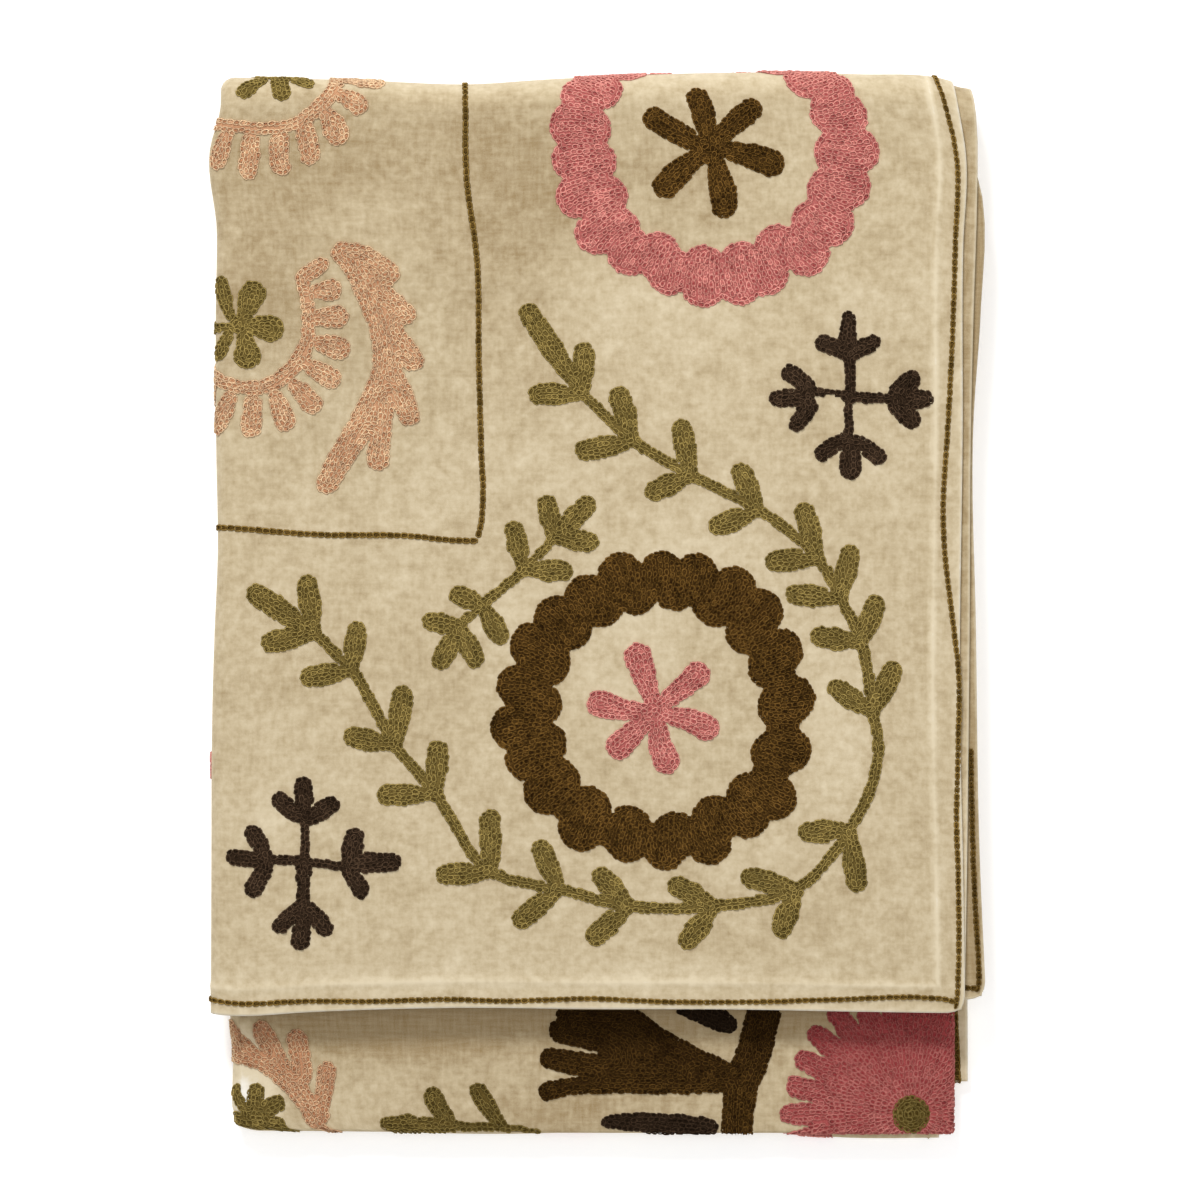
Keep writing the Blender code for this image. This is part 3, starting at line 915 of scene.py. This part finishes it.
lineFromHem = {  # the side hem's chain line, and how far in from the edge it runs
    "up": [5, 20, 60, 83, 114, 151, 164, 214, 246, 290, 330, 370, 392, 403, 440, 875],
    "inset": [3.4, 2.6, 2.2, 2.4, 0.9, 0.9, 2.6, 8.0, 6.7, 4.4, 3.4, 4.3, 6.0, 7.4, 4.5, 4.5],
}
frameLine = [(214, 880), (213, 700), (214, 520), (214, 400), (213, 357), (209, 326), (208, 276),
             (207.1, 242), (206.4, 217), (207.2, 208.8), (208.4, 204)]
frameTurn = [(208.8, 202.1), (221, 202.5), (235, 204), (279, 205), (320, 208), (345, 208)]
endLine = [(4, 4.6), (9, 6), (15.3, 6.4), (56.7, 5), (92.4, 3.3), (128.7, 3.2), (160, 4.4),
           (200, 3), (218, 3.6), (254, 3.6), (290, 5), (308, 5.2), (323.5, 6), (340, 4.8)]
# Measured from the two last hems, and backLine from the last side hem alone
lastLine = [(-2.8, 110), (-2.8, 80), (-2.8, 40), (-2.6, 12), (-3, 3)]
lastTurn = [(-3.2, 4.8), (-9, 5), (-15, 4.8)]
backLine = [(-6.2, 815), (-6, 840), (-5.2, 860), (-4.5, 876)]


def layChainLines():
    ups = np.arange(1.2, clothLength / 2, 2.0)
    insets = readCurve(lineFromHem["up"], lineFromHem["inset"], ups)
    size = chain["hemLineSize"]
    for line in (list(zip(insets, ups)), endLine):
        book.run(line, size)
    for line in (frameLine, frameTurn):
        book.run(line, chain["frameLineSize"])
    for line in (lastLine, lastTurn):
        book.run([(clothWidth + across, clothLength - up) for across, up in line], size, True)
    book.run([(clothWidth + across, up) for across, up in backLine],
             chain["backLineScale"] * size, True)


print("laying the embroidery")
layRing("darkOlive", cornerRing)
layRing("rose", roseRing)
layRing("darkOlive", underRing)
layRing("rose", lastRing)
book.fill("rose", roseFlower)
for east, north in ((-24, 491), (170, 585)):  # on the underside, the last round the left fold
    book.fill("rose", moved(roseFlower, east, north))
layVine("olive", vine)
layVine("olive", sprig)
for crossUp in (0, 232, 480):
    book.fill("brownBlack", moved(sideCross, 0, crossUp))
for shape in (lowCross, blackLeaves):
    book.fill("brownBlack", shape)
for shape in (foldLobes, topLobes, feather, tailLobes):
    book.fill("salmon", shape)
for shape in (foldFlower, topFlower, tailFlower, tailSprig):
    book.fill("olive", shape)
for shape in (oliveFlower, palmette):
    book.fill("darkOlive", shape)
layPeony("rose", "olive", peony)
layChainLines()
print("stitches:", {thread: len(laid) for thread, laid in book.byThread.items()})


link = {
    "length": 3.75,
    "width": 1.75,
    "thread": 0.4,  # radius
    "threadSides": 3,
    "steps": 7,  # round the link
    "roundness": 0.62,
    "taper": 0.22,
    "level": 0.2,
    "lift": 0.2,  # of its middle
    "tilt": 0.12,
    "crestFrom": 0.36,  # the height of the strand's lit side
    "padSides": 5,
    "padRadius": 1.2,
    "padLength": 1.3,
    "padDepth": 0.36,
    "padLevel": 0.12,
}
# Painted shade on each link: the lit crest keeps the thread's colour, while its low sides and the
# pad under it take some of the deep colour
strandShade = {"crest": 1, "side": 0.6, "padEdge": 0.8, "padSlope": 0.7}


def linkTemplate():  # one chain link lying along x, with a low pad of thread under it
    bm = bmesh.new()
    bmesh.ops.create_circle(bm, segments=link["threadSides"], radius=link["thread"])
    for vert in bm.verts:
        vert.co = (1 + vert.co.x, 0, vert.co.y)
    bmesh.ops.spin(bm, geom=bm.verts[:] + bm.edges[:], cent=(0, 0, 0), axis=(0, 0, 1),
                   angle=2 * pi, steps=link["steps"], use_merge=True)
    half = link["length"] / 2 - link["thread"]
    for vert in bm.verts:
        around = Vector((vert.co.x, vert.co.y))
        out = around.length - 1
        x, y = around.normalized()
        straight = copysign(abs(y) ** link["roundness"], y) if abs(y) > 0.01 else 0
        width = link["width"] / 2 * (1 + link["taper"] * x)
        vert.co.x = x * (half + out)
        vert.co.y = straight * (width + out)
        vert.co.z += link["level"] + link["lift"] * (1 - x ** 2) + link["tilt"] * x
    strandCount = len(bm.verts)
    onCrest = [vert.co.z > link["crestFrom"] for vert in bm.verts]
    bmesh.ops.create_cone(bm, cap_ends=True, segments=link["padSides"], radius1=link["padRadius"],
                          radius2=0, depth=link["padDepth"])
    bm.verts.ensure_lookup_table()
    bmesh.ops.remove_doubles(bm, verts=bm.verts[strandCount:], dist=0.001)
    bm.verts.ensure_lookup_table()
    for vert in bm.verts[strandCount:]:
        vert.co.x *= link["padLength"]
        vert.co.z += link["padLevel"]
    bmesh.ops.recalc_face_normals(bm, faces=bm.faces)
    bmesh.ops.triangulate(bm, faces=bm.faces)
    points = np.array([vert.co for vert in bm.verts])
    faces = np.array([[vert.index for vert in face.verts] for face in bm.faces])
    bm.free()
    # the pad grows darker towards its middle: painted shade in the link's hole
    strandShading = np.minimum(strandShade["padEdge"],
                          strandShade["padSlope"] * np.hypot(points[:, 0], points[:, 1]))
    strandShading[:strandCount] = np.where(onCrest, strandShade["crest"], strandShade["side"])
    return points, faces, strandShading


def groundSquares(name):  # the squares of thread between a piece's rows
    size = 2 * chain["fieldStep"]
    places, squares = {}, []
    for (i, j), thread in book.ground.items():
        if book.nameFor(thread, (i + 0.5) * size, (j + 0.5) * size) + "Stitches" == name:
            ring = [(i, j), (i, j + 1), (i + 1, j + 1), (i + 1, j)]
            squares.append([places.setdefault(spot, len(places)) for spot in ring])
    spots = np.array(list(places), float).reshape(-1, 2) * size
    return spots, np.array(squares, int).reshape(-1, 4)


def stitchMesh(name, stitches):
    points, faces, strandShading = linkTemplate()
    rng = np.random.default_rng(len(stitches))
    place = np.array(stitches)
    count = len(place)
    calm = chain["lineCalm"] if name.startswith("chainLine") else 1
    turn = place[:, 2] + rng.normal(0, calm * chain["turnJitter"], count)
    size = place[:, 3:] * (1 + rng.normal(0, calm * chain["sizeJitter"], (count, 1)))
    shiftX, shiftY = rng.normal(0, calm * chain["jitter"], (2, count, 1))
    c, s = np.cos(turn)[:, None], np.sin(turn)[:, None]
    x, y = points[:, 0] * size, points[:, 1] * size
    across = place[:, :1] + shiftX + c * x - s * y
    up = place[:, 1:2] + shiftY + s * x + c * y
    level = points[:, 2] * (1 + rng.normal(0, chain["heightJitter"], (count, 1)))
    level += rng.uniform(*chain["levels"], (count, 1))
    spots, squares = groundSquares(name)
    across = np.concatenate([across.ravel(), spots[:, 0]])
    up = np.concatenate([up.ravel(), spots[:, 1]])
    level = np.concatenate([level.ravel(), np.full(len(spots), chain["groundHeight"])])
    mesh = bpy.data.meshes.new(name)
    order = faces[:, ::-1]  # the fold turns them round
    links = (order[None] + len(points) * np.arange(count)[:, None, None]).reshape(-1, 3)
    mesh.from_pydata(foldCloth(across, up, level), [],
                     links.tolist() + (squares + links.max() + 1).tolist())
    mesh.shade_smooth()
    addClothMap(mesh, across, up)
    # how open each link is changes only how deep its painted shade goes
    gaping = 1 + chain["gapJitter"] * calm * rng.uniform(-1, 1, (count, 1))  # how open it is
    strand = np.clip(1 - (1 - strandShading) * gaping, 0, 1).ravel()
    tint = np.repeat(rng.uniform(0, 1, count), len(points))
    # the ground between the rows takes mostly the deep colour: painted shade
    onGround = np.full(len(spots), chain["groundShade"])
    for attribute, values in (("strandShading", strand), ("tint", tint)):
        addFloatAttribute(mesh, attribute, np.concatenate([values, onGround]))
    addFloatAttribute(mesh, "shade", tailShade(across, up))
    print(name, len(links) + 2 * len(squares), "triangles")
    return mesh


# Materials


class Socket:
    def __init__(self, tree, socket):
        self.tree, self.socket = tree, socket

    def math(self, operation, *pair):
        return self.tree.node("ShaderNodeMath", {"operation": operation}, pair)

    def __add__(self, other):
        return self.math("ADD", self, other)

    def __radd__(self, other):
        return self.math("ADD", other, self)

    def __mul__(self, other):
        return self.math("MULTIPLY", self, other)

    def __rmul__(self, other):
        return self.math("MULTIPLY", other, self)


class Finish:  # a material's node tree
    def __init__(self, name, settings):
        self.material = bpy.data.materials.new(name)
        self.material.use_nodes = True
        self.nodes = self.material.node_tree.nodes
        self.links = self.material.node_tree.links
        self.shader = self.nodes["Principled BSDF"]
        for key, value in settings.items():
            self.shader.inputs[key].default_value = value

    def node(self, kind, settings, inputs=(), output=0):
        node = self.nodes.new(kind)
        for key, value in settings.items():
            setattr(node, key, value)
        pairs = inputs.items() if isinstance(inputs, dict) else enumerate(inputs)
        for key, value in pairs:
            if isinstance(value, Socket):
                self.links.new(value.socket, node.inputs[key])
            else:
                node.inputs[key].default_value = value
        return Socket(self, node.outputs[output])

    def clothMap(self):
        return self.node("ShaderNodeUVMap", {"uv_map": "clothMap"})

    def attribute(self, name):
        return self.node("ShaderNodeAttribute", {"attribute_name": name}, (), 2)

    def noise(self, vector, scale, detail, roughness=0.5):
        return self.node("ShaderNodeTexNoise", {}, {"Vector": vector, "Scale": scale,
                                                    "Detail": detail, "Roughness": roughness})

    def remap(self, value, low, high, most=1, curve="LINEAR"):
        return self.node("ShaderNodeMapRange", {"interpolation_type": curve},
                         {"Value": value, "From Min": low, "From Max": high, "To Max": most})

    def mixColour(self, factor, first, second):
        return self.node("ShaderNodeMix", {"data_type": "RGBA"}, {0: factor, 6: first, 7: second}, 2)

    def feed(self, key, value):
        self.links.new(value.socket, self.shader.inputs[key])

    def feedBump(self, strength, distance, height):
        self.feed("Normal", self.node("ShaderNodeBump", {}, {
            "Strength": strength, "Distance": distance, "Height": height}))


velvet = {
    "shader": {"Roughness": 0.85, "Specular IOR Level": 0.15, "Sheen Weight": 0.3,
               "Sheen Roughness": 0.45, "Sheen Tint": (0.95, 0.88, 0.72, 1)},
    "base": (0.50, 0.40, 0.245, 1),
    "dark": (0.29, 0.20, 0.092, 1),
    "pale": (0.68, 0.58, 0.405, 1),
    "bright": (0.90, 0.86, 0.78, 1),  # where the pile catches the light on an edge or fold
    # waves for each metre of cloth, their detail and roughness
    "clouds": (24, 4, 0.6),
    "blotches": (90, 3, 0.65),
    "brushed": (260, 2, 0.6),
    "weave": (700, 2),
    "pile": (2600, 1),
    "yarnStretch": 0.12,
    "napAndPaintedLightShares": (0.2, 0.26, 0.3, 0.15, 0.12),  # clouds, blotches, brushed, placed patches, all
    "darkNapAndPaintedShade": (0.54, 0.28),
    "paleNapAndPaintedLight": (0.46, 0.70),
    "paintedHighlightRange": (0.72, 1.0),
    "fleckShares": (0.6, 0.4),  # the weave and the pile
    "flecks": (0.38, 0.62, 0.3),
    "bump": 0.35,
    "bumpDepth": 0.0004,
    "rim": 2.4,  # the hems' worn edge, with a painted highlight where its pile catches the light
    "rimWidth": 1.7,
    "crest": 1.6,  # the worn ridge over the turned-in edge, with a painted highlight where its pile catches the light
    "crestWidth": 1.25,
    "sideCrest": (0.7, 0.2, 0.2),  # how much of it shows: everywhere, in long waves, in short ones
    "endCrest": (0.4, 0.2),
    "crestWaves": (19, 6.1, 17),
    # patches where the pile lies darker or paler, painted shade and painted highlights among them:
    # middle, half width, half height, amount
    # At up 403 a painted highlight runs along the top fold and at up 11 one along the end hem's
    # rolled edge; those at across 1300 and 4 are painted shade on the lowest layers at the side.
    # On the tail (up 820 to 870) they are mostly the painted shadow of the front section's hem, with
    # painted highlights on its left fold at across 339 and 340.
    "patches": {
        "across": [272, 190, 199, 294, 117, 307, 240, 139, 39, 113, 139, 52, 298, 207, 199, 28, 150,
                   240, 90, 382, 408, 445, 560, 455, 480, 339, 340, 490, 1300, 1300, 4],
        "up": [375, 362, 323, 328, 358, 297, 285, 297, 306, 200, 159, 125, 82, 11, 168, 330, 403,
               130, 40, 822, 836, 822, 820, 850, 868, 861, 838, 850, 1460, 1690, 1500],
        "wide": [66, 34, 32, 34, 36, 24, 60, 38, 28, 28, 32, 14, 14, 150, 18, 22, 170, 40, 60, 42,
                 45, 50, 75, 45, 20, 9, 7, 120, 7, 8, 16],
        "high": [28, 34, 22, 30, 28, 36, 30, 20, 14, 18, 28, 40, 10, 8, 14, 60, 7, 30, 14, 12, 8,
                 10, 14, 9, 8, 12, 8, 30, 130, 70, 190],
        "amount": [-0.8, -0.85, -0.5, -0.5, -0.5, -0.6, -0.3, 0.3, 0.4, 0.35, 0.3, 0.4, 0.5, 0.4,
                   0.35, -0.2, 0.6, -0.15, -0.15, -2.0, -0.9, -1.3, -1.6, 0.4, -0.6, 4.4, 2.4,
                   -0.7, -3.0, -2.2, -1.3],
    },
}


# The pile's own patches together with painted light: the listed patches hold painted shadow and
# painted highlights, and the hems' rim and crest add painted highlights
def napAndPaintedLightAmount(across, up):  # darker below 0, paler above
    amount = np.zeros(across.shape)
    for a, b, wide, high, change in zip(*velvet["patches"].values()):
        amount += change * np.exp(-((across - a) / wide) ** 2 - ((up - b) / high) ** 2)
    inward = np.minimum(*toHems(across, up))
    crest = np.exp(-((inward - relief["hemRidgeAt"]) / velvet["crestWidth"]) ** 2)
    (least, long, short), (endLeast, endLong) = velvet["sideCrest"], velvet["endCrest"]
    sideWaves = [np.sin(up / wave) for wave in velvet["crestWaves"][:2]]
    endWave = np.sin(across / velvet["crestWaves"][2])
    crest = crest * np.where(across < up, least + long * sideWaves[0] + short * sideWaves[1],
                             endLeast + endLong * endWave)
    return amount + velvet["rim"] * (1 - ease(inward / velvet["rimWidth"])) + velvet["crest"] * crest


def velvetFinish():
    f = Finish("sandVelvet", velvet["shader"])
    flat, placed = f.clothMap(), f.attribute("napAndPaintedLight")
    clouds, blotches, brushed, pile = (f.noise(flat, *velvet[name])
                                       for name in ("clouds", "blotches", "brushed", "pile"))
    stretch = velvet["yarnStretch"]
    upright, level = (f.node("ShaderNodeMapping", {}, {"Vector": flat, "Scale": scale})
                      for scale in ((1, stretch, 1), (stretch, 1, 1)))
    weave = f.noise(upright, *velvet["weave"]) * 0.5 + f.noise(level, *velvet["weave"]) * 0.5
    a, b, c, d, least = velvet["napAndPaintedLightShares"]
    # the pile's mottling plus the listed patches, so painted shade and painted highlights are mixed
    # into this value
    napAndPaintedLight = clouds * a + blotches * b + brushed * c + placed * d + least
    darkness = f.remap(napAndPaintedLight, *velvet["darkNapAndPaintedShade"], curve="SMOOTHSTEP")
    paleness = f.remap(napAndPaintedLight, *velvet["paleNapAndPaintedLight"], curve="SMOOTHSTEP")
    colour = f.mixColour(darkness, velvet["base"], velvet["dark"])
    colour = f.mixColour(paleness, colour, velvet["pale"])
    a, b = velvet["fleckShares"]
    flecks = f.remap(weave * a + pile * b, *velvet["flecks"])
    colour = f.mixColour(flecks, colour, velvet["pale"])
    # painted highlight: near white where the value is highest, on the rim, the crest and the lit
    # folds
    glare = f.remap(napAndPaintedLight, *velvet["paintedHighlightRange"])
    f.feed("Base Color", f.mixColour(glare, colour, velvet["bright"]))
    f.feedBump(velvet["bump"], velvet["bumpDepth"], weave * 0.5 + pile * 0.5)
    return f.material


tailShadow = {  # where the front section's hem keeps the light off the threads of the tail
    "beforeFold": 6,
    "under": 12,
    "least": 0.4,  # at the left, and how it deepens to the right
    "more": 0.6,
    "from": 20,
    "reach": 100,
    "fading": 0.4,  # away from the hem
    "fadeReach": 40,
    "depth": 0.75,
}


def tailShade(across, up):
    t = tailShadow
    past, below = across - leftFoldEnd, up - shown["tailFrom"]
    shade = t["least"] + t["more"] * ease((past - t["from"]) / t["reach"])
    shade = shade * (1 - t["fading"] * ease(below / t["fadeReach"]))
    return np.where((past > -t["beforeFold"]) & (below > -t["under"]), shade, 0)


threads = {  # colour of the thread and of the shade between its strands, and its grain
    "darkOlive": ((0.15, 0.074, 0.011, 1), (0.014, 0.005, 0.001, 1), 0.7),
    "chainLine": ((0.26, 0.16, 0.036, 1), (0.055, 0.026, 0.003, 1), 0.5),
    "olive": ((0.34, 0.248, 0.07, 1), (0.05, 0.028, 0.003, 1), 0.4),
    "rose": ((0.82, 0.31, 0.26, 1), (0.27, 0.028, 0.034, 1), 0.4),
    "salmon": ((0.80, 0.52, 0.32, 1), (0.40, 0.15, 0.065, 1), 0.4),
    "brownBlack": ((0.075, 0.042, 0.021, 1), (0.01, 0.005, 0.002, 1), 0.6),
}
cotton = {
    "shader": {"Roughness": 0.8, "Specular IOR Level": 0.04},
    "fibres": (1100, 3, 0.7),
    "patches": (60, 2),
    "wearShares": (1.2, 0.2, 0.3),  # of the fibres, each stitch's own tint and the patches
    "wear": (0.64, 1.06),
    "fuzz": 0.012,
    "twist": {"Scale": 520.0, "Distortion": 1.5},
    "bump": 0.3,
    "bumpDepth": 0.0002,
}


def threadFinish(name, light, deep, grain):
    f = Finish(name + "Thread", cotton["shader"])
    strandShading, tint, shade = (f.attribute(each) for each in ("strandShading", "tint", "shade"))
    flat = f.clothMap()
    fibres, patches = (f.noise(flat, *cotton[each]) for each in ("fibres", "patches"))
    worn = tuple(min(1, c * (1 + grain) + cotton["fuzz"]) for c in light[:3]) + (1,)
    dull = tuple(c * (1 - grain) for c in light[:3]) + (1,)
    a, b, c = cotton["wearShares"]
    wear = f.remap(fibres * a + tint * b + patches * c, *cotton["wear"])
    # the deep colour stands in for the shade between and under the strands: painted shade
    colour = f.mixColour(strandShading, deep, f.mixColour(wear, dull, worn))
    f.feed("Base Color", f.mixColour(shade * tailShadow["depth"], colour, deep))
    twist = f.node("ShaderNodeTexWave", {"wave_type": "BANDS", "bands_direction": "DIAGONAL"},
                   {"Vector": flat, **cotton["twist"]})
    f.feedBump(cotton["bump"], cotton["bumpDepth"], twist)
    return f.material


addFloatAttribute(sheetMesh, "napAndPaintedLight", napAndPaintedLightAmount(sheetAcross, sheetUp))
velvetThrow.data.materials.append(velvetFinish())
threadFinishes = {name: threadFinish(name, *values) for name, values in threads.items()}
stitchPieces = []
for thread, laid in book.byThread.items():
    colour = thread.replace("Under", "")
    piece = linkObject(thread + "Stitches", stitchMesh(thread + "Stitches", laid))
    piece.data.materials.append(threadFinishes[colour])
    stitchPieces.append((piece, colour))
print("materials made")

# Floor, light and camera

studio = {
    "floor": 6.0,
    "floorShader": {"Base Color": (0.93, 0.93, 0.93, 1), "Roughness": 0.9,
                    "Specular IOR Level": 0.0, "Emission Color": (1, 1, 1, 1),
                    "Emission Strength": 0.32},
    "lights": {  # place, size and watts
        "key": ((-0.7, 2.2, 2.2), 0.8, 62),
        "fill": ((1.7, -0.6, 2.6), 2.0, 12),
        "top": ((0, 0, 3.4), 2.4, 20),
    },
    "sky": {"Color": (1, 1, 1, 1), "Strength": 0.5},
}

photoFrame = {  # the photograph's 1200 x 1200 frame, laid on the cloth
    "mmPerPixel": 0.431,
    "hemPixelX": 961.5,  # where the straight side hem would run
    "hemPixelY": 1010,  # and the end hem
    "middlePixel": 600,
    "pixels": 1200,
    "distance": 3.0,
    "sensor": 36,
    "farthest": 20,
}


def makeFloor():
    bm = bmesh.new()
    bmesh.ops.create_grid(bm, x_segments=1, y_segments=1, size=studio["floor"] / 2)
    floor = linkObject("floor", meshFrom(bm, "floor"))
    floor.data.materials.append(Finish("paleFloor", studio["floorShader"]).material)
    return floor


def makeLights():
    for name, (place, size, watts) in studio["lights"].items():
        data = bpy.data.lights.new(name, "AREA")
        data.shape = "DISK"
        data.size = size
        data.energy = watts
        light = linkObject(name, data)
        light.location = place
        toThrow = Vector((0, 0, 0)) - light.location
        light.rotation_euler = toThrow.to_track_quat("-Z", "Y").to_euler()
    world = bpy.data.worlds.new("studioWorld")
    bpy.context.scene.world = world
    world.use_nodes = True
    for key, value in studio["sky"].items():
        world.node_tree.nodes["Background"].inputs[key].default_value = value


def makeCamera():
    p = photoFrame
    x = -(p["hemPixelX"] - p["middlePixel"]) * p["mmPerPixel"] - originShift[0]
    y = (p["hemPixelY"] - p["middlePixel"]) * p["mmPerPixel"] - originShift[1]
    data = bpy.data.cameras.new("photoCamera")
    data.sensor_width = p["sensor"]
    width = p["pixels"] * p["mmPerPixel"] * mm
    data.lens = p["sensor"] * p["distance"] / width
    data.clip_end = p["farthest"]
    camera = linkObject("photoCamera", data)
    camera.location = (x * mm, y * mm, bundleHeight * mm + p["distance"])
    bpy.context.scene.camera = camera


floor = makeFloor()
makeLights()
makeCamera()
bpy.context.scene.view_settings.view_transform = "Standard"
print("floor, lights and camera set")

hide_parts("velvet_throw")
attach(velvetThrow, "root")
for piece, colour in stitchPieces:
    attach(piece, "root")
